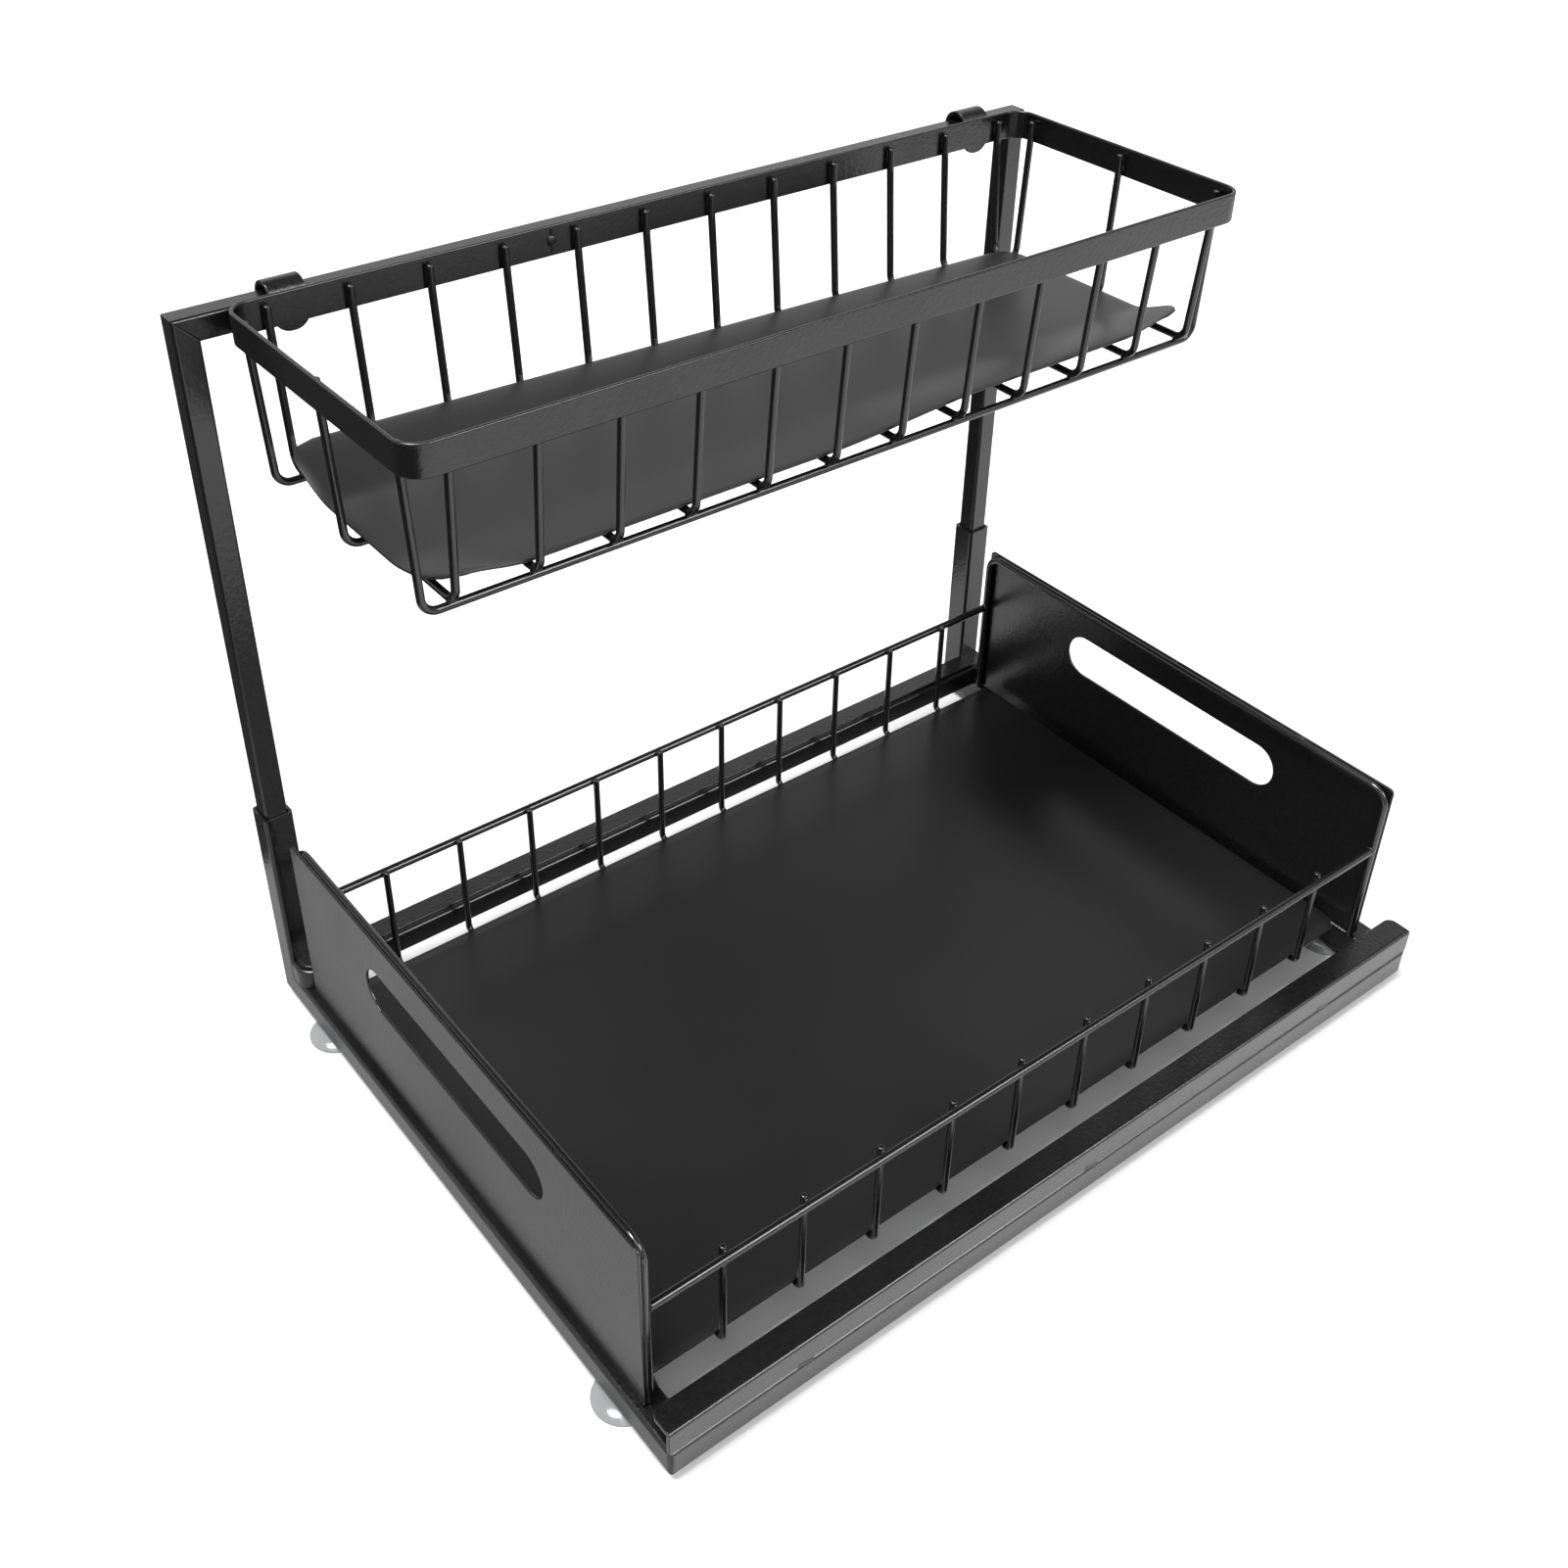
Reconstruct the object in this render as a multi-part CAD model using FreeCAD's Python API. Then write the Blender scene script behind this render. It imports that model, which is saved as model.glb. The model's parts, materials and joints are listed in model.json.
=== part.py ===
import FreeCAD, Part
import math
import os

from FreeCAD import Vector

# A two-tier organizer for the cupboard under a sink, in black coated steel.
# A ring of square tube stands on four suction cups and carries a lift-out basket between two lips.
# Two sleeves at the rear hold a plug-in frame, and a wire basket hangs on the crossbar of that frame.
# Millimetres. X is to the right, Y to the rear, Z up.
# The origin is on the floor under the middle of the base.

# Whole object
base_width = 400.0
base_depth = 292.0
frame_top = 316.5
foot_height = 3.5

# Square tube of the base ring and of the sleeves
tube = 12.5
tube_wall = 1.2
tube_corner = 1.6
ring_corner = 2.5
sleeve_height = 99.0

# Sheet lips in front of and behind the lower basket
lip_sheet = 1.5
lip_height = 11.2
lip_depth = 12.0
lip_bend = 1.4
front_lip_corner = 4.0
front_lip_setback = 0.5
rear_lip_corner = 8.0
rear_lip_step = 2.2

# Suction cups under the side rails
cup_radius = 12.2
cup_inset = 37.0
cup_rim_width = 2.7
cup_rim_height = 0.6
cup_cavity = 1.6
cup_bulge = 0.4
cup_pad_radius = 6.0
cup_neck_radius = 2.5
cup_head_radius = 4.0
cup_head_height = 2.4
cup_fit = 0.1

# Square tube of the upper frame, loose in the sleeves
sleeve_play = 0.3
post_wall = 1.0
post_corner = 1.2

# Lower basket, which stands a little to the left and almost against the rear lip
basket_inset = 6.5
basket_front_gap = 8.0
basket_rear_gap = 1.5
basket_height = 82.5
basket_shift = -3.0
panel_sheet = 1.2
panel_corner = 2.5
slot_length = 128.0
slot_height = 21.0
slot_rise = 54.5
hoop_wire = 3.5
hoop_bend = 7.5
rod_wire = 3.5
rod_rise = 50.0
floor_wire = 2.8
floor_wire_count = 10
floor_wire_end_gap = 32.0
floor_wire_bend = 2.4
floor_wire_nub = 0.7

# Mat on the floor wires, pushed forward against their front bends
mat_sheet = 1.2
mat_front_gap = 0.6
mat_rear_gap = 3.2
mat_corner = 4.0

# Upper basket, which hangs a little to the right
rim_inset = 13.0
rim_depth = 128.5
rim_height = 12.0
rim_sheet = 1.6
rim_edge_round = 0.6
rim_corner = 9.0
rim_rise = 2.5
rim_shift = 5.5
hook_width = 14.0
hook_sheet = 1.6
hook_inset = 25.0
hook_side_play = 0.45
hook_seat_drop = 1.0
hook_tab = 3.5
hook_tab_flat = 1.0
basket_wire = 3.0
basket_wire_bend = 6.0
wire_top_drop = 2.5
cross_wire_count = 12
cross_wire_end_gap = 15.0
cross_wire_taper = 4.0
long_wire_count = 3
long_wire_end_gap = 4.5
long_wire_taper = 2.2
basket_drop = 63.6

# Liner in the upper basket, which reaches a little over the wires' bends and bows up at its rear edge
liner_sheet = 1.2
liner_reach = 1.4
liner_bow_run = 16.0
liner_bow_radius = 28.0
liner_corner = 12.0

# Gap between a loose piece and what it rests on
rest_gap = 0.3

# Rounding that the coating leaves on sheet edges and on the ends of wires
edge_round = 0.4
wire_end_round = 0.8

# Derived places that more than one piece uses
half_width = base_width / 2
front = -base_depth / 2
rear = base_depth / 2
rail_top = foot_height + tube
lip_top = rail_top + lip_height
rail_x = half_width - tube / 2
post = tube - 2 * tube_wall - 2 * sleeve_play
post_y = rear - tube / 2
rear_lip_front = rear - tube - lip_depth
basket_width = base_width - 2 * basket_inset
basket_front = front + lip_depth + basket_front_gap
basket_rear = rear_lip_front - basket_rear_gap
basket_length = basket_rear - basket_front
basket_place = Vector(basket_shift, (basket_front + basket_rear) / 2, rail_top)
rod_length = basket_width - 2 * (panel_sheet + hoop_wire)
rod_y = basket_length / 2 - hoop_wire / 2
floor_wire_y = rod_y - rod_wire / 2 - floor_wire / 2
hook_radius = post / 2 + hook_side_play
rim_width = base_width - 2 * rim_inset
hook_x = rim_width / 2 - hook_inset
rim_rear = post_y - hook_radius - hook_sheet
rim_top = frame_top + rim_rise
rim_bottom = rim_top - rim_height
rim_y = rim_rear - rim_depth / 2
cross_wire_z = rim_top - basket_drop + basket_wire / 2
wire_top_y = rim_depth / 2 - rim_sheet - basket_wire / 2
wire_top_x = rim_width / 2 - rim_sheet - basket_wire / 2
wire_low_y = wire_top_y - cross_wire_taper
wire_low_x = wire_top_x - long_wire_taper
reach = 2 * (base_width + base_depth + frame_top)

pieces = {}


def box(x_low, x_high, y_low, y_high, z_low, z_high):
    """Return a plain box between two opposite corners."""
    return Part.makeBox(x_high - x_low, y_high - y_low, z_high - z_low, Vector(x_low, y_low, z_low))


def edges_along(solid, direction):
    """Return the straight edges of a solid that run along a direction."""
    lines = [edge for edge in solid.Edges if isinstance(edge.Curve, Part.Line)]
    return [edge for edge in lines if abs(edge.Curve.Direction.dot(direction)) > 0.999]


def rounded_prism(width, depth, corner, height):
    """Return an upright prism on the Z axis, with its four upright edges rounded."""
    block = box(-width / 2, width / 2, -depth / 2, depth / 2, 0, height)
    return block.makeFillet(corner, edges_along(block, Vector(0, 0, 1)))


def square_tube(side, wall, corner, length):
    """Return a hollow square tube that stands on the origin along the Z axis."""
    bore_side = side - 2 * wall
    bore = rounded_prism(bore_side, bore_side, corner / 2, length)
    return rounded_prism(side, side, corner, length).cut(bore)


def along_x(shape):
    """Lay a shape that stands along +Z down along +X."""
    return shape.rotated(Vector(), Vector(0, 1, 0), 90)


def along_y(shape):
    """Lay a shape that stands along +Z down along +Y."""
    return shape.rotated(Vector(), Vector(1, 0, 0), -90)


def mitred(shape, point, away):
    """Cut off what lies beyond the plane through a point, on the side that away points to."""
    block = box(-reach, reach, -reach, reach, 0, reach)
    block.Placement = FreeCAD.Placement(point, FreeCAD.Rotation(Vector(0, 0, 1), away))
    return shape.cut(block)


def mirrored_x(shape):
    """Return the copy of a shape on the other side of the plane X = 0."""
    return shape.mirror(Vector(), Vector(1, 0, 0))


def bent_wire(points, bend, diameter):
    """Sweep a round wire along straight runs joined by tangent arcs of one radius."""
    edges = []
    start = points[0]
    for before, corner, after in zip(points, points[1:], points[2:]):
        inward = (before - corner).normalize()
        outward = (after - corner).normalize()
        half_angle = inward.getAngle(outward) / 2
        tangent = bend / math.tan(half_angle)
        arc_start = corner + inward * tangent
        arc_end = corner + outward * tangent
        middle_way = (inward + outward).normalize()
        arc_middle = corner + middle_way * (bend / math.sin(half_angle) - bend)
        edges.append(Part.LineSegment(start, arc_start).toShape())
        edges.append(Part.Arc(arc_start, arc_middle, arc_end).toShape())
        start = arc_end
    edges.append(Part.LineSegment(start, points[-1]).toShape())
    section = Part.Wire(Part.makeCircle(diameter / 2, points[0], points[1] - points[0]))
    wire = Part.Wire(edges).makePipeShell([section], True, False)
    end_circles = []
    for end in (points[0], points[-1]):
        end_circles += [edge for edge in wire.Edges if edge.CenterOfMass.isEqual(end, wire_end_round)]
    return wire.makeFillet(wire_end_round, end_circles)


def row(count, half_length):
    """Return evenly spaced places in a row from minus to plus a half length."""
    pitch = 2 * half_length / (count - 1)
    return [pitch * place - half_length for place in range(count)]


def cup_places():
    """Return the names and the X and Y of the four suction cups, under the side rails."""
    cup_y = rear - cup_inset
    return {
        "front_left": (-rail_x, -cup_y),
        "front_right": (rail_x, -cup_y),
        "rear_left": (-rail_x, cup_y),
        "rear_right": (rail_x, cup_y),
    }


def side_rail():
    """Left rail: mitred in plan to the front rail, and in side view to the sleeve."""
    rail = along_y(square_tube(tube, tube_wall, tube_corner, base_depth))
    rail.translate(Vector(-rail_x, front, foot_height + tube / 2))
    rail = mitred(rail, Vector(-half_width, front, 0), Vector(1, -1, 0))
    rail = mitred(rail, Vector(0, rear, foot_height), Vector(0, 1, 1))
    for x, y in cup_places().values():
        hole = Part.makeCylinder(cup_neck_radius + cup_fit, tube / 2, Vector(x, y, foot_height - tube / 4))
        rail = rail.cut(hole)
    return rail.common(ring_envelope())


def ring_envelope():
    """Block round the base ring, with its two front corners rounded."""
    block = box(-half_width, half_width, front, rear, foot_height, rail_top)
    uprights = edges_along(block, Vector(0, 0, 1))
    front_uprights = [edge for edge in uprights if edge.CenterOfMass.y < 0]
    return block.makeFillet(ring_corner, front_uprights)


def front_rail():
    """Front rail, mitred in plan to both side rails."""
    rail = along_x(square_tube(tube, tube_wall, tube_corner, base_width))
    rail.translate(Vector(-half_width, front + tube / 2, foot_height + tube / 2))
    rail = mitred(rail, Vector(-half_width, front, 0), Vector(-1, 1, 0))
    rail = mitred(rail, Vector(half_width, front, 0), Vector(1, 1, 0))
    return rail.common(ring_envelope())


def sleeve():
    """Left sleeve: an open tube that rises from the mitre at the rear end of the side rail."""
    upright = square_tube(tube, tube_wall, tube_corner, sleeve_height)
    upright.translate(Vector(-rail_x, post_y, foot_height))
    return mitred(upright, Vector(0, rear, foot_height), Vector(0, -1, -1))


def front_lip():
    """Angle strip on the front rail: a front wall and a top flange with two rounded corners."""
    lip_front = front + front_lip_setback
    strip = box(-half_width, half_width, lip_front, front + lip_depth, rail_top, lip_top)
    middle = strip.CenterOfMass
    rear_uprights = [edge for edge in edges_along(strip, Vector(0, 0, 1)) if edge.CenterOfMass.y > middle.y]
    strip = strip.makeFillet(front_lip_corner, rear_uprights)
    top_edges = [edge for edge in edges_along(strip, Vector(1, 0, 0)) if edge.CenterOfMass.z > middle.z]
    strip = strip.makeFillet(lip_bend, [edge for edge in top_edges if edge.CenterOfMass.y < middle.y])
    hollow = box(-half_width, half_width, lip_front, front + lip_depth, rail_top, lip_top)
    strip = strip.cut(hollow.translated(Vector(0, lip_sheet, -lip_sheet)))
    upper_edges = [edge for edge in strip.Edges if edge.BoundBox.ZMin > lip_top - edge_round]
    return strip.makeFillet(edge_round, [edge for edge in upper_edges if edge.CenterOfMass.y > middle.y])


def rear_lip():
    """Strip before the sleeves: an angle with rounded front corners, and a cover set back on its top."""
    angle_top = lip_top - lip_sheet
    angle = rounded_top(lip_block(half_width, rear_lip_front, angle_top, rear_lip_corner), lip_bend)
    cover_front = rear_lip_front + rear_lip_step
    cover_corner = rear_lip_corner - rear_lip_step
    cover = lip_block(half_width - rear_lip_step, cover_front, lip_top, cover_corner)
    cover = rounded_top(cover, edge_round)
    hollow = lip_block(half_width - lip_sheet, rear_lip_front + lip_sheet, angle_top - lip_sheet,
                       rear_lip_corner - lip_sheet)
    return angle.fuse(cover).cut(hollow)


def rounded_top(block, radius):
    """Round the upper edges of a lip block, apart from the one along its rear."""
    bounds = block.BoundBox
    upper_edges = [edge for edge in block.Edges if edge.BoundBox.ZMin > bounds.ZMax - edge_round]
    rear_edge_y = bounds.YMax - edge_round
    return block.makeFillet(radius, [edge for edge in upper_edges if edge.BoundBox.YMin < rear_edge_y])


def lip_block(reach_x, face_y, top, corner):
    """Block from the rail tops up, with its two front upright edges rounded."""
    block = box(-reach_x, reach_x, face_y, rear - tube, rail_top, top)
    uprights = edges_along(block, Vector(0, 0, 1))
    front_uprights = [edge for edge in uprights if edge.CenterOfMass.y < block.CenterOfMass.y]
    return block.makeFillet(corner, front_uprights)


def suction_cup(x, y):
    """One cup turned about its axis: a hollow skirt, a pad under the rail, a neck and a head inside it."""
    neck_top = foot_height + tube_wall + cup_fit
    head_top = neck_top + cup_head_height
    rim_edge = Vector(cup_radius, 0, cup_rim_height)
    pad_edge = Vector(cup_pad_radius, 0, foot_height - cup_rim_height)
    dome_middle = (rim_edge + pad_edge) / 2 + Vector(cup_bulge, 0, cup_bulge)
    dome = Part.Arc(rim_edge, dome_middle, pad_edge)
    rim = Part.makePolygon([Vector(), Vector(cup_radius, 0, 0), rim_edge])
    stem = Part.makePolygon([
        pad_edge,
        Vector(cup_pad_radius, 0, foot_height),
        Vector(cup_neck_radius, 0, foot_height),
        Vector(cup_neck_radius, 0, neck_top),
        Vector(cup_head_radius, 0, neck_top),
        Vector(cup_neck_radius, 0, head_top),
        Vector(0, 0, head_top),
        Vector(),
    ])
    outline = Part.Wire(rim.Edges + [dome.toShape()] + stem.Edges)
    cup = Part.Face(outline).revolve(Vector(), Vector(0, 0, 1), 360)
    cavity_edge = cup_radius - cup_rim_width
    cavity_radius = (cavity_edge ** 2 + cup_cavity ** 2) / (2 * cup_cavity)
    cavity = Part.makeSphere(cavity_radius, Vector(0, 0, cup_cavity - cavity_radius))
    return cup.cut(cavity).translated(Vector(x, y, 0))


def frame_post():
    """Left post: stands on the bottom wall of the side rail and is mitred to the crossbar."""
    foot = foot_height + tube_wall + rest_gap
    upright = square_tube(post, post_wall, post_corner, frame_top - foot)
    upright.translate(Vector(-rail_x, post_y, foot))
    return mitred(upright, Vector(-rail_x - post / 2, 0, frame_top), Vector(1, 0, 1))


def crossbar():
    """Bar between the posts, mitred at both ends."""
    end_x = rail_x + post / 2
    bar = along_x(square_tube(post, post_wall, post_corner, 2 * end_x))
    bar.translate(Vector(-end_x, post_y, frame_top - post / 2))
    bar = mitred(bar, Vector(-end_x, 0, frame_top), Vector(-1, 0, -1))
    return mitred(bar, Vector(end_x, 0, frame_top), Vector(1, 0, -1))


def side_panel():
    """Left panel of the lower basket, with a handle slot that has round ends."""
    outer_x = -basket_width / 2
    inner_x = outer_x + panel_sheet
    half_length = basket_length / 2
    sheet = box(outer_x, inner_x, -half_length, half_length, 0, basket_height)
    sheet = sheet.makeFillet(panel_corner, edges_along(sheet, Vector(1, 0, 0)))
    slot_radius = slot_height / 2
    end_y = slot_length / 2 - slot_radius
    slot = box(outer_x, inner_x, -end_y, end_y, slot_rise - slot_radius, slot_rise + slot_radius)
    for y in (-end_y, end_y):
        centre = Vector(outer_x, y, slot_rise)
        slot = slot.fuse(Part.makeCylinder(slot_radius, panel_sheet, centre, Vector(1, 0, 0)))
    sheet = sheet.cut(slot)
    face_edges = [edge for edge in sheet.Edges if edge.BoundBox.XLength < panel_sheet / 2]
    return sheet.makeFillet(edge_round, face_edges)


def side_hoop():
    """Left hoop: a wire inside the panel that follows its front, top and rear edges."""
    x = -basket_width / 2 + panel_sheet + hoop_wire / 2
    top = basket_height - hoop_wire / 2
    points = [Vector(x, -rod_y, 0), Vector(x, -rod_y, top), Vector(x, rod_y, top), Vector(x, rod_y, 0)]
    return bent_wire(points, hoop_bend, hoop_wire)


def cross_rod(y):
    """Rod from hoop to hoop at the front or the rear of the lower basket."""
    left_end = Vector(-rod_length / 2, y, rod_rise)
    return Part.makeCylinder(rod_wire / 2, rod_length, left_end, Vector(1, 0, 0))


def floor_wire_at(x):
    """One wire under the mat, turned up at both ends along the inner side of the rods."""
    top = rod_rise + rod_wire / 2 + floor_wire_nub
    low = floor_wire / 2
    points = [
        Vector(x, -floor_wire_y, top),
        Vector(x, -floor_wire_y, low),
        Vector(x, floor_wire_y, low),
        Vector(x, floor_wire_y, top),
    ]
    return bent_wire(points, floor_wire_bend, floor_wire)


def floor_mat():
    """Flat mat on the floor wires, between the hoops."""
    wire_face = floor_wire_y - floor_wire / 2
    depth = 2 * wire_face - mat_front_gap - mat_rear_gap
    sheet = rounded_prism(rod_length - 2 * rest_gap, depth, mat_corner, mat_sheet)
    return sheet.translated(Vector(0, (mat_front_gap - mat_rear_gap) / 2, floor_wire + rest_gap))


def rim_band():
    """Flat strip bent into a rounded rectangle, standing on its edge."""
    outer = rounded_prism(rim_width, rim_depth, rim_corner, rim_height)
    inner_width = rim_width - 2 * rim_sheet
    inner_depth = rim_depth - 2 * rim_sheet
    inner = rounded_prism(inner_width, inner_depth, rim_corner - rim_sheet, rim_height)
    band = outer.cut(inner)
    flat_edges = [edge for edge in band.Edges if edge.BoundBox.ZLength < rim_height / 2]
    return band.makeFillet(rim_edge_round, flat_edges).translated(Vector(0, rim_y, rim_bottom))


def hook():
    """Left hook: a strip behind the rim that arches over the crossbar, with rounded ends."""
    tip = rim_bottom - hook_tab
    spring = frame_top - post_corner - hook_seat_drop
    outer = hook_profile(hook_radius + hook_sheet, spring, tip)
    inner = hook_profile(hook_radius, spring, tip)
    strip = outer.cut(inner)
    bounds = strip.BoundBox
    mask = box(bounds.XMin, bounds.XMax, bounds.YMin, bounds.YMax, bounds.ZMin, bounds.ZMax)
    low_edges = [edge for edge in edges_along(mask, Vector(0, 1, 0)) if edge.CenterOfMass.z < spring]
    mask = mask.makeFillet((hook_width - hook_tab_flat) / 2, low_edges)
    strip = strip.common(mask)
    return strip.makeFillet(edge_round, strip.Edges).translated(Vector(-hook_x, post_y, 0))


def hook_profile(radius, spring, tip):
    """Arch block of one radius on the X axis: straight sides down to the tip, and a half round top."""
    legs = box(-hook_width / 2, hook_width / 2, -radius, radius, tip, spring)
    arch = Part.makeCylinder(radius, hook_width, Vector(-hook_width / 2, 0, spring), Vector(1, 0, 0))
    return legs.fuse(arch)


def cross_wire_at(x):
    """One wire from the rear of the rim, down, under the liner and up to the front of the rim."""
    points = [
        Vector(x, rim_y - wire_top_y, rim_top - wire_top_drop),
        Vector(x, rim_y - wire_top_y, rim_bottom),
        Vector(x, rim_y - wire_low_y, cross_wire_z),
        Vector(x, rim_y + wire_low_y, cross_wire_z),
        Vector(x, rim_y + wire_top_y, rim_bottom),
        Vector(x, rim_y + wire_top_y, rim_top - wire_top_drop),
    ]
    return bent_wire(points, basket_wire_bend, basket_wire)


def long_wire_at(y):
    """One wire from the left end of the rim, under the cross wires, to the right end of the rim."""
    low_z = cross_wire_z - basket_wire
    points = [
        Vector(-wire_top_x, y, rim_top - wire_top_drop),
        Vector(-wire_top_x, y, rim_bottom),
        Vector(-wire_low_x, y, low_z),
        Vector(wire_low_x, y, low_z),
        Vector(wire_top_x, y, rim_bottom),
        Vector(wire_top_x, y, rim_top - wire_top_drop),
    ]
    return bent_wire(points, basket_wire_bend, basket_wire)


def liner():
    """Thin sheet on the cross wires, flat from its front edge on and bowed up along its rear edge."""
    half_depth = wire_low_y - basket_wire_bend + liner_reach
    width = 2 * (wire_low_x - basket_wire_bend + liner_reach)
    low = cross_wire_z + basket_wire / 2 + rest_gap
    lower = bowed_face(half_depth, low, liner_bow_radius)
    upper = bowed_face(half_depth, low + liner_sheet, liner_bow_radius - liner_sheet)
    ends = [
        Part.LineSegment(lower[0].Vertexes[0].Point, upper[0].Vertexes[0].Point).toShape(),
        Part.LineSegment(lower[-1].Vertexes[-1].Point, upper[-1].Vertexes[-1].Point).toShape(),
    ]
    outline = Part.Wire(Part.__sortEdges__(lower + upper + ends))
    sheet = Part.Face(outline).extrude(Vector(width, 0, 0))
    sheet.translate(Vector(-width / 2, 0, 0))
    mask = rounded_prism(width, 2 * half_depth, liner_corner, frame_top)
    return sheet.common(mask).translated(Vector(0, rim_y, 0))


def bowed_face(half_depth, low, radius):
    """Return the line and the arc of one face of the liner, from front to rear, in the plane X = 0."""
    bow_start = half_depth - liner_bow_run
    turn = math.asin(liner_bow_run / liner_bow_radius)

    def on_arc(angle):
        return Vector(0, bow_start + radius * math.sin(angle), low + radius * (1 - math.cos(angle)))

    level = Part.LineSegment(Vector(0, -half_depth, low), on_arc(0))
    bow = Part.Arc(on_arc(0), on_arc(turn / 2), on_arc(turn))
    return [level.toShape(), bow.toShape()]


def add_base():
    """The ring of tubes, the lips, the sleeves and the suction cups."""
    pieces["left_side_rail"] = side_rail()
    pieces["right_side_rail"] = mirrored_x(side_rail())
    pieces["front_rail"] = front_rail()
    pieces["left_sleeve"] = sleeve()
    pieces["right_sleeve"] = mirrored_x(sleeve())
    pieces["front_lip"] = front_lip()
    pieces["rear_lip"] = rear_lip()
    for name, (x, y) in cup_places().items():
        pieces["suction_cup_" + name] = suction_cup(x, y)


def add_upper_frame():
    """The plug-in frame: two posts and the crossbar."""
    pieces["left_post"] = frame_post()
    pieces["right_post"] = mirrored_x(frame_post())
    pieces["crossbar"] = crossbar()


def add_lower_basket():
    """The lift-out basket and its mat, built about its own middle and then put in its place."""
    group = {
        "left_panel": side_panel(),
        "right_panel": mirrored_x(side_panel()),
        "left_hoop": side_hoop(),
        "right_hoop": mirrored_x(side_hoop()),
        "front_rod": cross_rod(-rod_y),
        "rear_rod": cross_rod(rod_y),
        "floor_mat": floor_mat(),
    }
    for number, x in enumerate(row(floor_wire_count, rod_length / 2 - floor_wire_end_gap), start=1):
        group["floor_wire_%02d" % number] = floor_wire_at(x)
    for name, shape in group.items():
        pieces[name] = shape.translated(basket_place)


def add_upper_basket():
    """The hanging basket and its liner, built about X = 0 and then moved along the crossbar."""
    group = {
        "rim_band": rim_band(),
        "left_hook": hook(),
        "right_hook": mirrored_x(hook()),
        "basket_liner": liner(),
    }
    for number, x in enumerate(row(cross_wire_count, rim_width / 2 - cross_wire_end_gap), start=1):
        group["cross_wire_%02d" % number] = cross_wire_at(x)
    for number, y in enumerate(row(long_wire_count, wire_low_y - long_wire_end_gap), start=1):
        group["long_wire_%d" % number] = long_wire_at(rim_y + y)
    for name, shape in group.items():
        pieces[name] = shape.translated(Vector(rim_shift, 0, 0))


add_base()
add_upper_frame()
add_lower_basket()
add_upper_basket()

os.makedirs("parts", exist_ok=True)
for name, shape in pieces.items():
    shape.exportStep("parts/" + name + ".step")
    print(name, len(shape.Solids), "solid", round(shape.Volume, 1), "mm3", shape.isValid())
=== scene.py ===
# %% [markdown]
# An organizer for the cupboard under a sink: a black steel base, a lift-out basket on it, and a wire
# basket that hangs on a plug-in frame at the rear. The solids come from the imported model and are in
# metres already, so nothing has to be fitted.

import json
import math

import bpy
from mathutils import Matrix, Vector


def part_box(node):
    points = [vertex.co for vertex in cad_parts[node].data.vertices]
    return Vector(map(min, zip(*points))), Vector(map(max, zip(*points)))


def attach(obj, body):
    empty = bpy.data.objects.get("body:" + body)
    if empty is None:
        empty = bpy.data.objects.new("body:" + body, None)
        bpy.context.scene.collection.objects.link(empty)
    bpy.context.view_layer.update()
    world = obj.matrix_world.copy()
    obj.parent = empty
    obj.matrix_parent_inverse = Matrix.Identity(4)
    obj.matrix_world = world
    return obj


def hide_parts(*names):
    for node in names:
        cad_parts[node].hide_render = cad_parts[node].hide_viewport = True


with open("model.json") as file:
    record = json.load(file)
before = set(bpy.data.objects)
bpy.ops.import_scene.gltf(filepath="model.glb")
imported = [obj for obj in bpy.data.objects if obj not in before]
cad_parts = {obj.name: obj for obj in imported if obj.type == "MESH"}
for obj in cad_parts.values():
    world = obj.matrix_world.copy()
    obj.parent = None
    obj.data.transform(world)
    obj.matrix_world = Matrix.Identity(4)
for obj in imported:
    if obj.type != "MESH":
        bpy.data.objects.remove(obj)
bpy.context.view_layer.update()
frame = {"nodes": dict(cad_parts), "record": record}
nodes = frame["nodes"]
bpy.ops.object.select_all(action="DESELECT")

# %% [markdown]
# The picture was taken from the front left, a little more than half a metre above the floor, with the
# camera tipped down. A camera object takes such a place, three angles and a focal length, so it needs
# no target. The small shift moves the picture down, because the photograph was cropped, and it keeps
# the perspective.

# %% Camera
camera_data = bpy.data.cameras.new("photo_camera")
camera_data.sensor_width = 36.0
camera_data.lens = 40.99
camera_data.shift_y = -0.0534
camera = bpy.data.objects.new("photo_camera", camera_data)
camera.location = (-0.38494, -0.42612, 0.56378)
camera.rotation_euler = [math.radians(angle) for angle in (54.416, -1.055, -38.142)]
bpy.context.scene.collection.objects.link(camera)
bpy.context.scene.camera = camera
bpy.context.scene.view_settings.view_transform = "Standard"
print("camera", tuple(camera.location), camera_data.lens)

# %% [markdown]
# The floor is a pale, matte studio sweep that is larger than what the camera sees. The lamps bring it
# up to white in the picture, and the black steel mirrors it. One plane is enough, because no edge of it
# shows.

# %% Floor
floor_size = 40.0
floor_drop = 0.0001
floor_grey = 0.62
floor_gloss = 0.1


def shader_of(material):
    """Return the main shader node of a material."""
    material.use_nodes = True
    return material.node_tree.nodes["Principled BSDF"]


def paper(name, grey, gloss):
    """Return a matte paper of one grey."""
    material = bpy.data.materials.new(name)
    shader = shader_of(material)
    shader.inputs["Base Color"].default_value = (grey, grey, grey, 1)
    shader.inputs["Roughness"].default_value = 0.9
    shader.inputs["Specular IOR Level"].default_value = gloss
    return material


bpy.ops.mesh.primitive_plane_add(size=floor_size, location=(0, 0, -floor_drop))
floor = bpy.context.object
floor.name = "studio_floor"
floor.data.materials.append(paper("floor_paper", floor_grey, floor_gloss))
print("floor", tuple(floor.dimensions))

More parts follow.
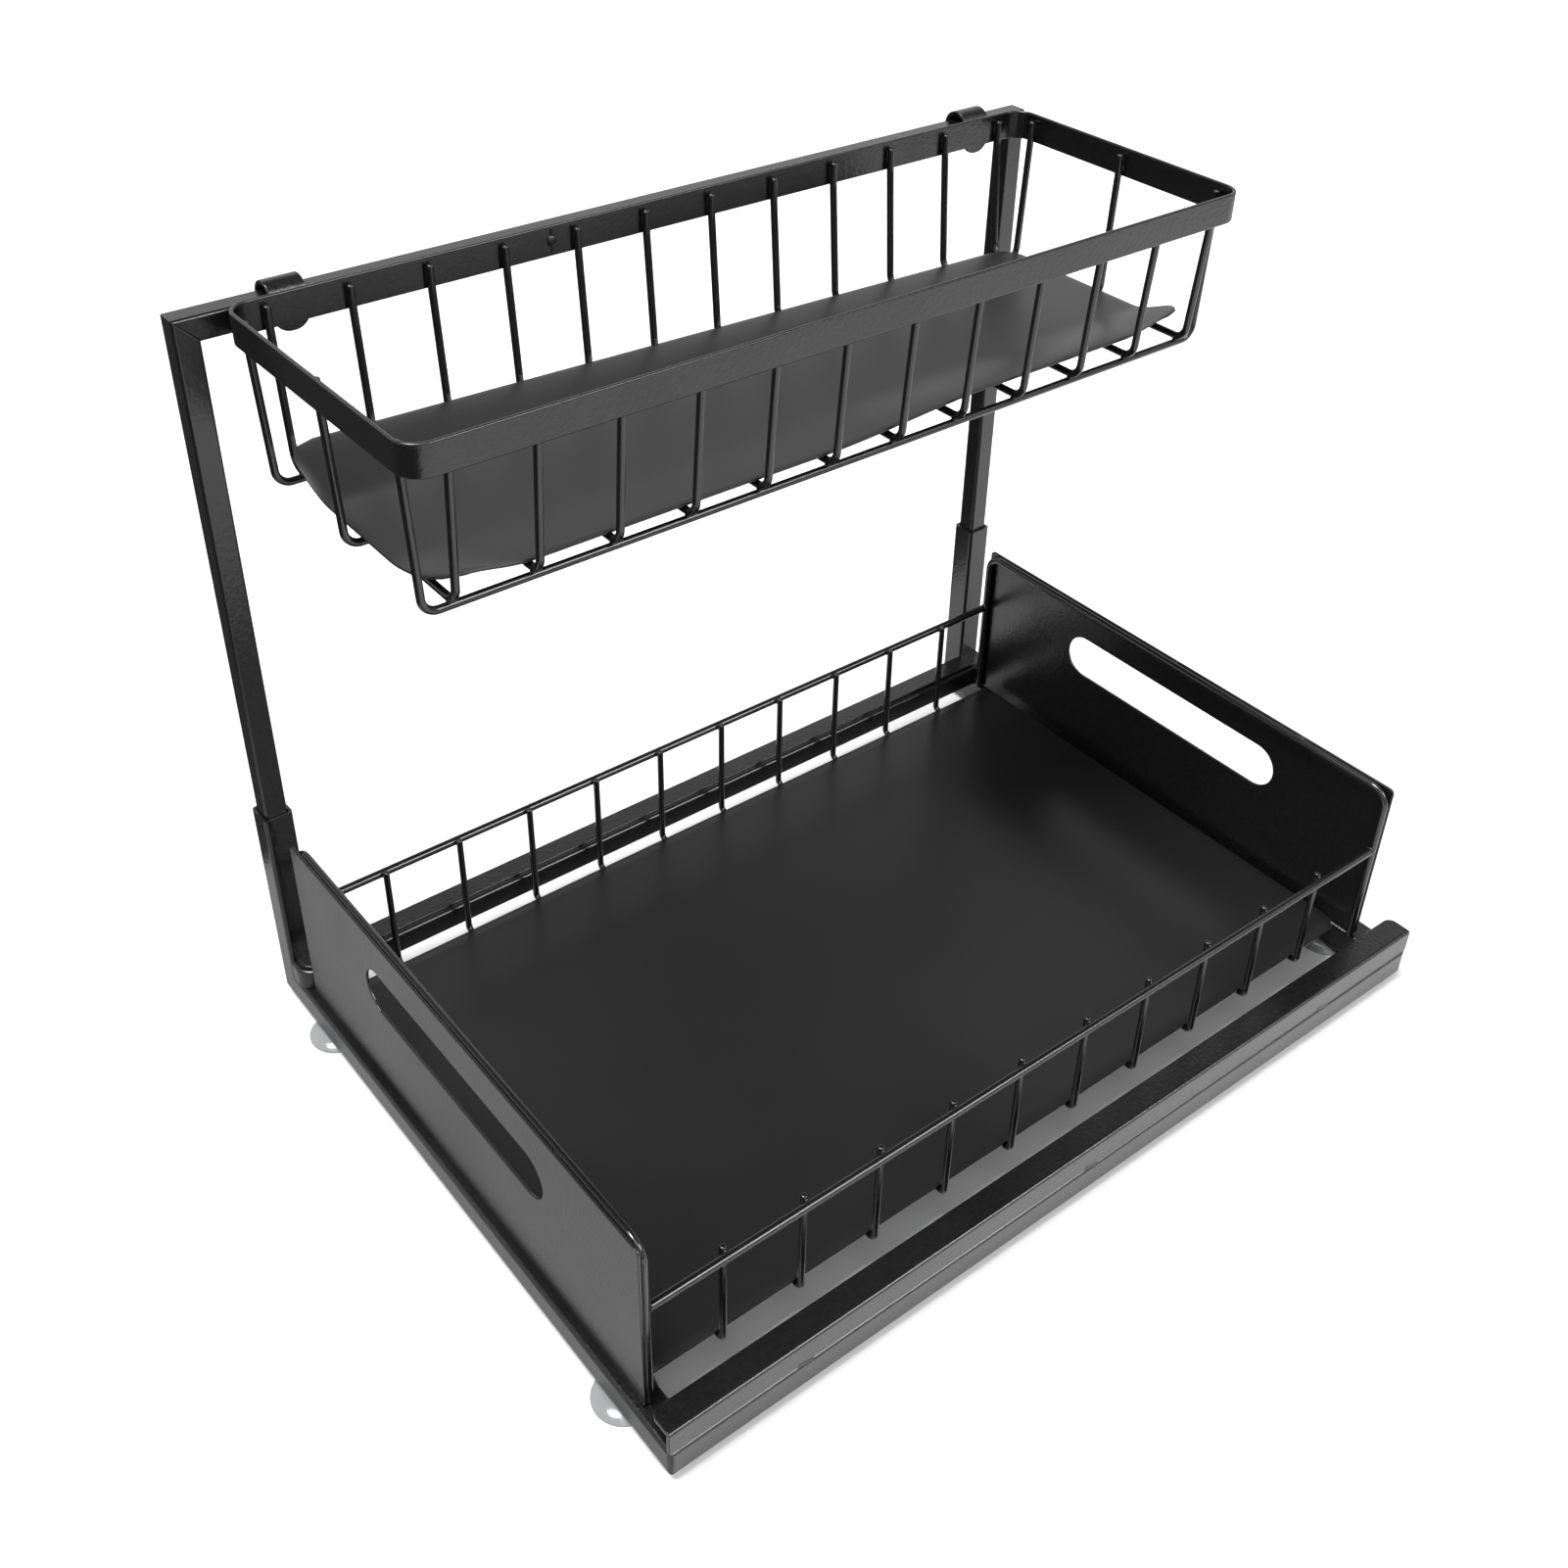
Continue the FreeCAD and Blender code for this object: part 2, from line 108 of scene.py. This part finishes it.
# %% [markdown]
# The room round the floor is bright near the ground and dim higher up. A colour ramp on the height of
# each direction makes such a room without any walls to model. Black satin steel shows hardly any colour
# of its own, so what it mirrors makes the picture. Upright faces mirror the floor. The camera looks
# down steeply on the near level faces, so they mirror the dim part and stay black. It looks less
# steeply on the far and high ones, so they mirror the bright part and look grey.

# %% Room
low_wall_grey = 0.92
low_wall_end = 0.61
high_wall_grey = 0.05
high_wall_start = 0.74
world = bpy.data.worlds.new("dim_room")
bpy.context.scene.world = world
world.use_nodes = True
world_nodes = world.node_tree.nodes
world_links = world.node_tree.links
direction = world_nodes.new("ShaderNodeTexCoord")
height = world_nodes.new("ShaderNodeSeparateXYZ")
walls = world_nodes.new("ShaderNodeValToRGB")
background = world_nodes["Background"]
low_wall, high_wall = walls.color_ramp.elements
low_wall.position = low_wall_end
low_wall.color = (low_wall_grey, low_wall_grey, low_wall_grey, 1)
high_wall.position = high_wall_start
high_wall.color = (high_wall_grey, high_wall_grey, high_wall_grey, 1)
world_links.new(direction.outputs["Generated"], height.inputs["Vector"])
world_links.new(height.outputs["Z"], walls.inputs["Fac"])
world_links.new(walls.outputs["Color"], background.inputs["Color"])
background.inputs["Strength"].default_value = 1.0
print("room", world.name)

# %% [markdown]
# The light is one soft lamp overhead, a little to the rear left, a weaker softbox at the front right
# and a weak fill from the camera's side, which lights the floor where it shows through the slit behind
# the front lip. Round wires and bends catch the lamps as thin bright lines. A sun lamp with a wide
# angle gives such soft light evenly, however far off it stands.

# %% Lamps


def soft_lamp(name, energy, width, tilt):
    """Add a far lamp of that width in degrees, tilted about X and Y from straight overhead."""
    lamp_data = bpy.data.lights.new(name, "SUN")
    lamp_data.energy = energy
    lamp_data.angle = math.radians(width)
    lamp = bpy.data.objects.new(name, lamp_data)
    lamp.rotation_euler = [math.radians(angle) for angle in (*tilt, 0)]
    bpy.context.scene.collection.objects.link(lamp)
    print("lamp", name, energy)


soft_lamp("overhead_lamp", 5.2, 26, (-6, -14))
soft_lamp("front_softbox", 1.7, 24, (45, 34))
soft_lamp("camera_fill", 1.1, 36, (27, -10))

# %% [markdown]
# Two cards paint reflections into the black steel, which mirrors them and not the white floor. A grey
# card beside the base on the left paints a darker floor into the faces that look left, and a black one
# round the floor farther off paints dark reflections, so that the upper pieces stay black. Only mirrored
# rays meet the cards: the camera, the shadows and the soft light pass through them.

# %% Cards
side_card_middle = (-0.3105, 0.015, 0.0001)
side_card_size = (0.22, 0.53, 1.0)
# The side card's grey is a painted reflection: a darker floor beside the base for the left faces to
# mirror.
side_reflection_grey = 0.3
surround_size = 8.0
# The surround's near black is a painted reflection: a dark floor farther off for the upper pieces to
# mirror.
surround_reflection_grey = 0.03
card_gloss = 0.0
white_floor_middle = (0.35, -0.3, 0.0002)
white_floor_depth = 1.06
white_floor_stretch = 1.45


def mirrored_card(name, card, grey):
    """Make a plane into a card of one grey that shows only in mirrored rays: a painted reflection."""
    card.name = name
    card.visible_camera = False
    card.visible_diffuse = False
    card.visible_shadow = False
    card.visible_transmission = False
    card.data.materials.append(paper(name, grey, card_gloss))
    print(name, tuple(card.location))


bpy.ops.mesh.primitive_plane_add(size=1.0, location=side_card_middle)
side_reflection_card = bpy.context.object
side_reflection_card.scale = side_card_size
mirrored_card("side_reflection_card", side_reflection_card, side_reflection_grey)

bpy.ops.mesh.primitive_plane_add(size=surround_size, location=white_floor_middle)
surround_reflection_card = bpy.context.object
surround_reflection_card.scale = (white_floor_stretch, 1, 1)
bpy.ops.object.mode_set(mode="EDIT")
bpy.ops.mesh.select_all(action="SELECT")
bpy.ops.mesh.inset(thickness=(surround_size - white_floor_depth) / 2)
bpy.ops.mesh.delete(type="FACE")
bpy.ops.object.mode_set(mode="OBJECT")
mirrored_card("surround_reflection_card", surround_reflection_card, surround_reflection_grey)

# %% [markdown]
# Every finish of this object is a smooth skin with a fine irregular grain. A noise texture is the
# natural start for that. It reads Object coordinates, so the grain has its real size and stays on the
# piece when the piece moves. Three helpers then use the noise: one for the gloss, one for the relief
# and one for the colour.

# %% Grain helpers


def noise(material, scale, detail):
    """Add a noise texture on Object coordinates and return its value output."""
    tree = material.node_tree
    place = tree.nodes.get("Texture Coordinate") or tree.nodes.new("ShaderNodeTexCoord")
    texture = tree.nodes.new("ShaderNodeTexNoise")
    texture.inputs["Scale"].default_value = scale
    texture.inputs["Detail"].default_value = detail
    tree.links.new(place.outputs["Object"], texture.inputs["Vector"])
    return texture.outputs["Fac"]


usual_low = 0.3
usual_high = 0.7


def glossed(material, value, low, high):
    """Let a noise value, over its usual range, move the roughness from low to high."""
    tree = material.node_tree
    mapped = tree.nodes.new("ShaderNodeMapRange")
    mapped.inputs["From Min"].default_value = usual_low
    mapped.inputs["From Max"].default_value = usual_high
    mapped.inputs["To Min"].default_value = low
    mapped.inputs["To Max"].default_value = high
    tree.links.new(value, mapped.inputs["Value"])
    tree.links.new(mapped.outputs["Result"], shader_of(material).inputs["Roughness"])


def bumped(material, value, strength, distance):
    """Let a noise value raise and lower the surface by a bump of that distance."""
    tree = material.node_tree
    bump = tree.nodes.new("ShaderNodeBump")
    bump.inputs["Strength"].default_value = strength
    bump.inputs["Distance"].default_value = distance
    tree.links.new(value, bump.inputs["Height"])
    tree.links.new(bump.outputs["Normal"], shader_of(material).inputs["Normal"])


def tinted(material, value, dark, light):
    """Let a noise value, over its usual range, blend the base colour between two colours."""
    tree = material.node_tree
    ramp = tree.nodes.new("ShaderNodeValToRGB")
    dark_stop, light_stop = ramp.color_ramp.elements
    dark_stop.position = usual_low
    dark_stop.color = (*dark, 1)
    light_stop.position = usual_high
    light_stop.color = (*light, 1)
    tree.links.new(value, ramp.inputs["Fac"])
    tree.links.new(ramp.outputs["Color"], shader_of(material).inputs["Base Color"])


# %% [markdown]
# All the steel is powder coated: powder is sprayed on dry and melted, and sets as a satin skin with a
# fine ripple that is called orange peel. A fine noise drives a bump for that ripple, a much larger one
# lets the gloss wander a little from place to place, and the colour stays nearly black. The wires look
# smoother in the photograph, so their ripple is shallower.

# %% Powder coat
coat_ior = 1.55
coat_dark = (0.0025, 0.0025, 0.0026)
coat_light = (0.0045, 0.0045, 0.0047)
coat_patches = 14.0
peel_strength = 0.3
coat_gloss_swing = 0.04


def powder_coat(name, ripple, roughness, depth):
    """Return a black satin powder coat with that many ripples per metre, of that depth."""
    material = bpy.data.materials.new(name)
    shader_of(material).inputs["IOR"].default_value = coat_ior
    peel = noise(material, ripple, 1.0)
    wide = noise(material, coat_patches, 3.0)
    bumped(material, peel, peel_strength, depth)
    tinted(material, peel, coat_dark, coat_light)
    glossed(material, wide, roughness - coat_gloss_swing, roughness + coat_gloss_swing)
    return material


steel_finish = {
    "base": powder_coat("base_powder_coat", 560.0, 0.24, 0.0003),
    "upper_frame": powder_coat("frame_powder_coat", 560.0, 0.24, 0.0003),
    "lower_basket": powder_coat("basket_powder_coat", 620.0, 0.29, 0.0003),
    "hanging_basket": powder_coat("rim_powder_coat", 600.0, 0.24, 0.0003),
}
wire_finish = powder_coat("wire_powder_coat", 700.0, 0.2, 0.0001)
print("steel finishes", len(steel_finish), "and", wire_finish.name)

# %% [markdown]
# The mat and the liner are thin black plastic sheets. They are smoother and duller than the steel: the
# grain is much finer, so it shows as a soft sheen and not as ripples.

# %% Plastic sheet
plastic_ior = 1.45
plastic_grain = 2200.0
plastic_patches = 9.0
grain_strength = 0.12
grain_depth = 0.0001
patch_contrast = 1.12
plastic_gloss_swing = 0.03


def plastic_sheet(name, dark, roughness):
    """Return a matte black plastic of that grey, with a fine pressed grain."""
    material = bpy.data.materials.new(name)
    shader_of(material).inputs["IOR"].default_value = plastic_ior
    grain = noise(material, plastic_grain, 2.0)
    wide = noise(material, plastic_patches, 2.0)
    bumped(material, grain, grain_strength, grain_depth)
    light = dark * patch_contrast
    tinted(material, wide, (dark, dark, dark), (light, light, light))
    glossed(material, wide, roughness - plastic_gloss_swing, roughness + plastic_gloss_swing)
    return material


mat_plastic = plastic_sheet("mat_plastic", 0.005, 0.3)
liner_plastic = plastic_sheet("liner_plastic", 0.008, 0.38)
print("sheet finishes", mat_plastic.name, liner_plastic.name)

# %% [markdown]
# The suction cups are clear soft vinyl. A half transparent grey lets the floor show through them and
# still leaves them an outline. Refraction is the other way to make them, but few light paths get
# through such small pieces, so the floor under them can turn dark. A faint flow pattern from moulding
# keeps them from looking like glass.

# %% Clear vinyl
vinyl_grey = (0.24, 0.25, 0.25)
vinyl_cover = 0.5
flow_scale = 160.0
flow_strength = 0.1
flow_depth = 0.0004
clear_vinyl = bpy.data.materials.new("clear_vinyl")
vinyl = shader_of(clear_vinyl)
vinyl.inputs["Base Color"].default_value = (*vinyl_grey, 1)
vinyl.inputs["Alpha"].default_value = vinyl_cover
flow = noise(clear_vinyl, flow_scale, 2.0)
bumped(clear_vinyl, flow, flow_strength, flow_depth)
glossed(clear_vinyl, flow, 0.08, 0.2)
print("cup finish", clear_vinyl.name)

# %% [markdown]
# Each solid that keeps its shape gets its finish in its own material slot. Its body tells which finish
# that is, and the wires, rods and hoops have the smoother coat. The mat and the liner are left out
# here, because new sheets take their place.

# %% Dress the solids
wire_words = ("wire", "rod", "hoop")


def dress(node_name, material):
    """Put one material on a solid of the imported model."""
    slots = nodes[node_name].data.materials
    slots.clear()
    slots.append(material)


for body, members in frame["record"]["behaviour"]["bodies"].items():
    for member in members:
        if member.startswith("suction_cup"):
            dress(member, clear_vinyl)
        elif any(word in member for word in wire_words):
            dress(member, wire_finish)
        elif body in steel_finish:
            dress(member, steel_finish[body])
print("dressed", len(nodes), "solids, but for the two sheets")

# %% [markdown]
# New pieces are modelled with Blender's own operators, as by hand. An operator acts on what is selected
# and active, so one helper clears the selection, and another adds a modifier and applies it at once,
# which leaves a piece of plain geometry.

# %% Piece helpers


def deselect_all():
    """Leave nothing selected, so that the next operator acts on its own piece alone."""
    bpy.ops.object.select_all(action="DESELECT")


def apply_modifier(piece, name, kind, **settings):
    """Add a modifier with these settings to a piece and apply it."""
    modifier = piece.modifiers.new(name, kind)
    for setting, value in settings.items():
        setattr(modifier, setting, value)
    bpy.context.view_layer.objects.active = piece
    bpy.ops.object.modifier_apply(modifier=name)


# %% [markdown]
# The mat and the liner are loose sheets, cut with round corners. Both start as a grid. Each row of the
# grid is drawn in where it crosses a round corner, and then every point is raised by what the sheet is
# bent at its place. A Solidify modifier gives the sheet its thickness upwards, and a fine bevel takes
# the sharpness off its edge.

# %% Laid sheets
edge_angle = math.radians(50)
smooth_angle = math.radians(40)


def laid_sheet(name, low, high, corner, thickness, lift):
    """Model a sheet on the lower side of a box, raised by lift(across, along) in metres."""
    half = [(high[axis] - low[axis]) / 2 for axis in (0, 1)]
    middle = [(high[axis] + low[axis]) / 2 for axis in (0, 1)]
    deselect_all()
    bpy.ops.mesh.primitive_grid_add(x_subdivisions=90, y_subdivisions=44, size=2.0)
    sheet = bpy.context.object
    sheet.name = name
    for point in sheet.data.vertices:
        across, along = point.co.x, point.co.y
        into_corner = max(abs(along) * half[1] - half[1] + corner, 0.0)
        drawn_in = corner - math.sqrt(corner ** 2 - min(into_corner, corner) ** 2)
        point.co.x = middle[0] + across * (half[0] - drawn_in)
        point.co.y = middle[1] + along * half[1]
        point.co.z = low[2] + lift(across, along)
    apply_modifier(sheet, "thickness", "SOLIDIFY", thickness=thickness, offset=1.0)
    apply_modifier(sheet, "soft_edge", "BEVEL", width=thickness / 4, segments=2, angle_limit=edge_angle)
    sheet.select_set(True)
    bpy.ops.object.shade_smooth_by_angle(angle=smooth_angle)
    return sheet


# %% [markdown]
# The floor mat lies flat on ten wires, pushed forward against their bends. A sheet of this size is
# never quite flat, so a slow wave of a fraction of a millimetre goes through it, which shows only as a
# slight change in its sheen.

# %% Floor mat
sheet_thickness = 0.0012
mat_corner = 0.004
mat_wave = 0.00015
mat_wave_across = 4.0
mat_wave_along = 2.5


def mat_lift(across, along):
    """Height of the mat above its rest: a slow wave."""
    return mat_wave * (1.0 + math.sin(mat_wave_across * across + mat_wave_along * along))


mat_low, mat_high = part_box("floor_mat")
floor_mat = laid_sheet("floor_mat_sheet", mat_low, mat_high, mat_corner, sheet_thickness, mat_lift)
floor_mat.data.materials.append(mat_plastic)
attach(floor_mat, "floor_mat")
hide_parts("floor_mat")

# %% [markdown]
# The liner of the hanging basket is the same kind of sheet, cut a little too large for its place, so
# its edges climb the bends of the wires. In the photograph its rear edge stands highest at the left,
# and its front edge lifts in the right half and at both corners. Soft steps from the flat middle to
# each edge give such bends without a crease.

# %% Basket liner
liner_corner = 0.012
liner_overlap = 0.0012
front_bow_start = 0.45
rear_bow_start = 0.35
corner_bow_start = 0.85
right_lift_start = -0.1
right_lift_end = 0.4
front_rest = 0.0012
front_lift_right = 0.0040
front_corner_lift = 0.0035
rear_lift_middle = 0.0046
rear_lift_slope = 0.0038


def soft_step(value, start, end):
    """Return a soft step from 0 to 1 as the value goes from start to end."""
    inside = min(max((value - start) / (end - start), 0.0), 1.0)
    return inside * inside * (3.0 - 2.0 * inside)


def liner_lift(across, along):
    """Height of the liner above its rest: two bowed edges that aren't even."""
    at_front = soft_step(-along, front_bow_start, 1.0)
    at_rear = soft_step(along, rear_bow_start, 1.0)
    at_corners = soft_step(abs(across), corner_bow_start, 1.0)
    at_right = soft_step(across, right_lift_start, right_lift_end)
    front_edge = front_rest + front_lift_right * at_right + front_corner_lift * at_corners
    rear_edge = rear_lift_middle - rear_lift_slope * across
    return front_edge * at_front + rear_edge * at_rear


liner_low, liner_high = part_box("basket_liner")
front_left = (liner_low[0] - liner_overlap, liner_low[1] - liner_overlap, liner_low[2])
rear_right = (liner_high[0] - liner_overlap, liner_high[1], liner_high[2])
liner = laid_sheet("basket_liner_sheet", front_left, rear_right, liner_corner, sheet_thickness, liner_lift)
liner.data.materials.append(liner_plastic)
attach(liner, "basket_liner")
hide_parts("basket_liner")

# %% [markdown]
# The real frame is welded, and the welds show as small drops and rippled beads under the coat. One drop
# is modelled from a sphere that is roughened a little and smoothed again, because no two sides of a
# real drop are alike. Copies of it are set at one size on the contacts, and joined into one piece.

# %% Weld drops


def weld_drop(name):
    """Model one rough drop of unit size at the origin."""
    deselect_all()
    bpy.ops.mesh.primitive_uv_sphere_add(segments=8, ring_count=6, radius=0.5)
    drop = bpy.context.object
    drop.name = name
    bpy.ops.object.mode_set(mode="EDIT")
    bpy.ops.mesh.select_all(action="SELECT")
    bpy.ops.transform.vertex_random(offset=0.035, uniform=0.0, normal=0.5, seed=4)
    bpy.ops.object.mode_set(mode="OBJECT")
    apply_modifier(drop, "smoothed", "SUBSURF", levels=1, render_levels=1)
    bpy.ops.object.shade_smooth()
    return drop


def joined_pieces(name, pieces):
    """Join finished pieces into one."""
    deselect_all()
    for piece in pieces:
        piece.select_set(True)
    bpy.context.view_layer.objects.active = pieces[0]
    bpy.ops.object.transform_apply(location=True, rotation=True, scale=True)
    if len(pieces) > 1:
        bpy.ops.object.join()
    joined = bpy.context.object
    joined.name = name
    joined.data.name = name
    return joined


def copies_joined(name, pattern, size, places):
    """Set copies of a pattern on (place, turn) pairs at one size, and join them into one piece."""
    copies = []
    for place, turn in places:
        deselect_all()
        pattern.select_set(True)
        bpy.context.view_layer.objects.active = pattern
        bpy.ops.object.duplicate(linked=False)
        copy = bpy.context.object
        copy.scale = size
        copy.rotation_euler = turn
        copy.location = place
        copies.append(copy)
    bpy.data.objects.remove(pattern)
    return joined_pieces(name, copies)


# %% [markdown]
# A bead is a row of drops, one for each ripple that the welder leaves. They overlap by half, and a
# Remesh modifier fuses them into one skin. Every finished piece of welds gets the coat of the steel
# that it is on, and rides on the same body.

# %% Weld beads
level = (0, 0, 0)


def weld_bead(name, length, width, height, ripples):
    """Model one bead along X at the origin: overlapping drops, fused."""
    spacing = length / (ripples + 1)
    places = [((spacing * (ripple + 1) - length / 2, 0, 0), level) for ripple in range(ripples)]
    bead = copies_joined(name, weld_drop(name), (2 * spacing, width, height), places)
    apply_modifier(bead, "fused", "REMESH", mode="VOXEL", voxel_size=height / 7)
    bpy.ops.object.shade_smooth()
    return bead


def finish_welds(piece, body):
    """Coat a piece of welds like the steel that it is on, and let it ride on that body."""
    piece.data.materials.clear()
    piece.data.materials.append(steel_finish[body])
    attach(piece, body)
    print(piece.name, len(piece.data.polygons), "faces")


# %% [markdown]
# Three short beads tack the front lip to the front rail. They fill the groove between the two, slightly
# aslant, and end flush with the front face of the rail.

# %% Tack welds of the front lip
tack_spacing = 0.142
tack_size = (0.0090, 0.0022, 0.0034)
tack_ripples = 4
tack_drop = 0.0003
tack_turn = (0, math.radians(12), 0)
tack_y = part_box("front_rail")[0][1] + tack_size[1] / 2
tack_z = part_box("front_lip")[0][2] - tack_drop
tack_places = [((spot * tack_spacing, tack_y, tack_z), tack_turn) for spot in (-1, 0, 1)]
tack_bead = weld_bead("tack_bead", *tack_size, tack_ripples)
lip_tacks = copies_joined("lip_tack_welds", tack_bead, (1, 1, 1), tack_places)
finish_welds(lip_tacks, "base")

# %% [markdown]
# The upper frame is mitred at its top corners. A rippled bead runs along each mitre, on the front and
# on the rear face, at 45 degrees. It is flattened, so that it stays low on the face.

# %% Mitre welds of the upper frame
mitre_bead_size = (0.0125, 0.0012, 0.0012)
mitre_bead_flatness = (1, 0.55, 1)
long_bead_ripples = 9
frame_low, frame_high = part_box("crossbar")
bar = frame_high[2] - frame_low[2]
mitre_places = []
for side, corner_x in ((1, frame_low[0]), (-1, frame_high[0])):
    for face_y in (frame_low[1], frame_high[1]):
        place = (corner_x + side * bar / 2, face_y, frame_high[2] - bar / 2)
        mitre_places.append((place, (0, side * math.radians(45), 0)))
mitre_bead = weld_bead("mitre_bead", *mitre_bead_size, long_bead_ripples)
mitre_welds = copies_joined("frame_mitre_welds", mitre_bead, mitre_bead_flatness, mitre_places)
finish_welds(mitre_welds, "upper_frame")

# %% [markdown]
# The other welds sit where two pieces touch. Their places come from the boxes of the solids, so the
# drops stay on their contacts when a size changes.

# %% Places on the solids


def named(start):
    """Return the names of the solids that start with a word, in order."""
    return sorted(name for name in nodes if name.startswith(start))


def middle_of(node):
    """Return the middle of a solid's box."""
    low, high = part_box(node)
    return [(a + b) / 2 for a, b in zip(low, high)]


# %% [markdown]
# The hanging basket is spot welded: every cross wire and every long wire is pressed against the inside
# of the rim strip, and the wires are welded to each other wherever they cross. One drop is in the
# middle of the seam where the strip's own ends meet.

# %% Spot welds of the hanging basket
rim_sheet = 0.0016
seam_size = (0.0034, 0.0014, 0.0085)
crossing_size = (0.0029, 0.0029, 0.0016)
butt_size = (0.0046, 0.0026, 0.0046)
butt_x = -0.052
quarter = math.radians(90)
rim_low, rim_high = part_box("rim_band")
wire_low, wire_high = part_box("cross_wire_01")
seam_z = (rim_low[2] + wire_high[2]) / 2
rim_seams = []
crossings = []
for wire in named("cross_wire"):
    x = middle_of(wire)[0]
    for y in (rim_low[1] + rim_sheet, rim_high[1] - rim_sheet):
        rim_seams.append(((x, y, seam_z), level))
    for long_wire in named("long_wire"):
        crossings.append(((x, middle_of(long_wire)[1], wire_low[2]), level))
for wire in named("long_wire"):
    y = middle_of(wire)[1]
    for x in (rim_low[0] + rim_sheet, rim_high[0] - rim_sheet):
        rim_seams.append(((x, y, seam_z), (0, 0, quarter)))
butt_weld = (butt_x, rim_high[1] - rim_sheet, middle_of("rim_band")[2])
seam_drops = copies_joined("seam_drops", weld_drop("seam_drop"), seam_size, rim_seams)
crossing_drops = copies_joined("crossing_drops", weld_drop("crossing_drop"), crossing_size, crossings)
butt_drop = copies_joined("butt_drop", weld_drop("butt_drop"), butt_size, [(butt_weld, level)])
wire_welds = joined_pieces("basket_spot_welds", [seam_drops, crossing_drops, butt_drop])
finish_welds(wire_welds, "hanging_basket")

# %% [markdown]
# The hooks have a bead along both edges where they pass behind the rim, and the strip's own ends are
# joined by an upright bead. All five are copies of one bead that is nearly as long as the strip is
# high.

# %% Weld beads of the hanging basket
rim_height = rim_high[2] - rim_low[2]
rim_bead_size = (rim_height * 0.94, 0.0012, 0.0014)
rim_bead_flatness = (1, 0.8, 1)
upright = (0, quarter, 0)
bead_places = [(butt_weld, upright)]
for hook in ("left_hook", "right_hook"):
    hook_low, hook_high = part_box(hook)
    for x in (hook_low[0], hook_high[0]):
        bead_places.append(((x, rim_high[1], butt_weld[2]), upright))
rim_bead = weld_bead("rim_bead", *rim_bead_size, long_bead_ripples)
rim_welds = copies_joined("rim_weld_beads", rim_bead, rim_bead_flatness, bead_places)
finish_welds(rim_welds, "hanging_basket")

# %% [markdown]
# In the lower basket the floor wires are welded to the rods, the rods end against the hoops, and the
# hoops are spot welded to the inside of the panels, at three places along the top.

# %% Welds of the lower basket
hoop_wire = 0.0035
contact_size = (0.0032, 0.0016, 0.0030)
end_size = (0.0018, 0.0045, 0.0045)
spot_size = (0.0014, 0.0070, 0.0032)
spot_shares = (0.2, 0.5, 0.8)
rod_low, rod_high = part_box("front_rod")
rear_rod_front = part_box("rear_rod")[0][1]
rod_z = middle_of("front_rod")[2]
wire_contacts = []
for wire in named("floor_wire"):
    for y in (rod_high[1], rear_rod_front):
        wire_contacts.append(((middle_of(wire)[0], y, rod_z), level))
rod_ends = []
for rod in ("front_rod", "rear_rod"):
    for x in (rod_low[0], rod_high[0]):
        rod_ends.append(((x, middle_of(rod)[1], rod_z), level))
hoop_spots = []
for hoop, panel_side in (("left_hoop", 0), ("right_hoop", 1)):
    hoop_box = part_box(hoop)
    x = hoop_box[panel_side][0]
    top_z = hoop_box[1][2] - hoop_wire / 2
    for share in spot_shares:
        y = hoop_box[0][1] + share * (hoop_box[1][1] - hoop_box[0][1])
        hoop_spots.append(((x, y, top_z), level))
contact_drops = copies_joined("contact_drops", weld_drop("contact_drop"), contact_size, wire_contacts)
end_drops = copies_joined("end_drops", weld_drop("end_drop"), end_size, rod_ends)
spot_drops = copies_joined("spot_drops", weld_drop("spot_drop"), spot_size, hoop_spots)
tray_welds = joined_pieces("tray_spot_welds", [contact_drops, end_drops, spot_drops])
finish_welds(tray_welds, "lower_basket")
